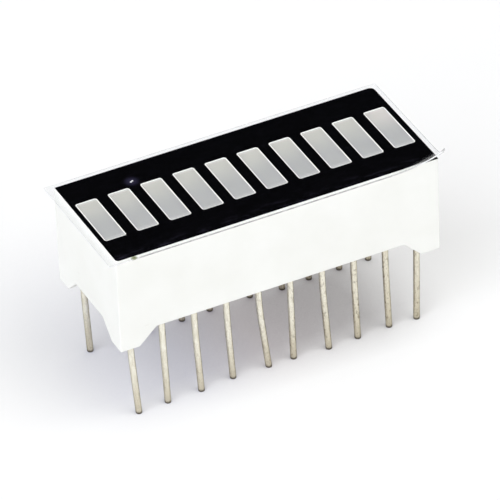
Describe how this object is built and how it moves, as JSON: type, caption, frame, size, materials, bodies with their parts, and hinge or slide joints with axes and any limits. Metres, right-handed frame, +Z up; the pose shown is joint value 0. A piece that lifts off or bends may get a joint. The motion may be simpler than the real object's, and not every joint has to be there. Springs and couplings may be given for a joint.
{
  "type": "led bar graph",
  "caption": "Long LED display in a dual-in-line package: white moulded housing, black face with a row of pale light bars, clear film on top and wire pins below.",
  "frame": {"origin": "middle of the pin grid, in the plane of the four feet that sits on a circuit board", "axes": "+X along the row of light bars, +Y to the back row of pins, +Z up out of the lit face"},
  "size_m": [0.0264, 0.0107, 0.0152],
  "materials": {
    "housing": "moulded, nearly matte",
    "face_print": "black ink",
    "face_film": "clear and glossy",
    "light_bar": "milky resin",
    "circuit_board": "glass-fibre laminate",
    "copper": "bare copper",
    "led_die": "polished crystal",
    "bond_wire": "drawn wire",
    "pin": "tinned wire",
    "potting": "poured resin"
  },
  "bodies": {
    "root": {"housing": "housing", "face_print": "face_print", "face_film": "face_film", "light_bar_1": "light_bar", "light_bar_2": "light_bar", "light_bar_3": "light_bar", "light_bar_4": "light_bar", "light_bar_5": "light_bar", "light_bar_6": "light_bar", "light_bar_7": "light_bar", "light_bar_8": "light_bar", "light_bar_9": "light_bar", "light_bar_10": "light_bar", "circuit_board": "circuit_board", "copper_tracks": "copper", "led_die_1": "led_die", "led_die_2": "led_die", "led_die_3": "led_die", "led_die_4": "led_die", "led_die_5": "led_die", "led_die_6": "led_die", "led_die_7": "led_die", "led_die_8": "led_die", "led_die_9": "led_die", "led_die_10": "led_die", "bond_wire_1": "bond_wire", "bond_wire_2": "bond_wire", "bond_wire_3": "bond_wire", "bond_wire_4": "bond_wire", "bond_wire_5": "bond_wire", "bond_wire_6": "bond_wire", "bond_wire_7": "bond_wire", "bond_wire_8": "bond_wire", "bond_wire_9": "bond_wire", "bond_wire_10": "bond_wire", "pin_1": "pin", "pin_2": "pin", "pin_3": "pin", "pin_4": "pin", "pin_5": "pin", "pin_6": "pin", "pin_7": "pin", "pin_8": "pin", "pin_9": "pin", "pin_10": "pin", "pin_11": "pin", "pin_12": "pin", "pin_13": "pin", "pin_14": "pin", "pin_15": "pin", "pin_16": "pin", "pin_17": "pin", "pin_18": "pin", "pin_19": "pin", "pin_20": "pin", "potting": "potting"}
  },
  "joints": []
}
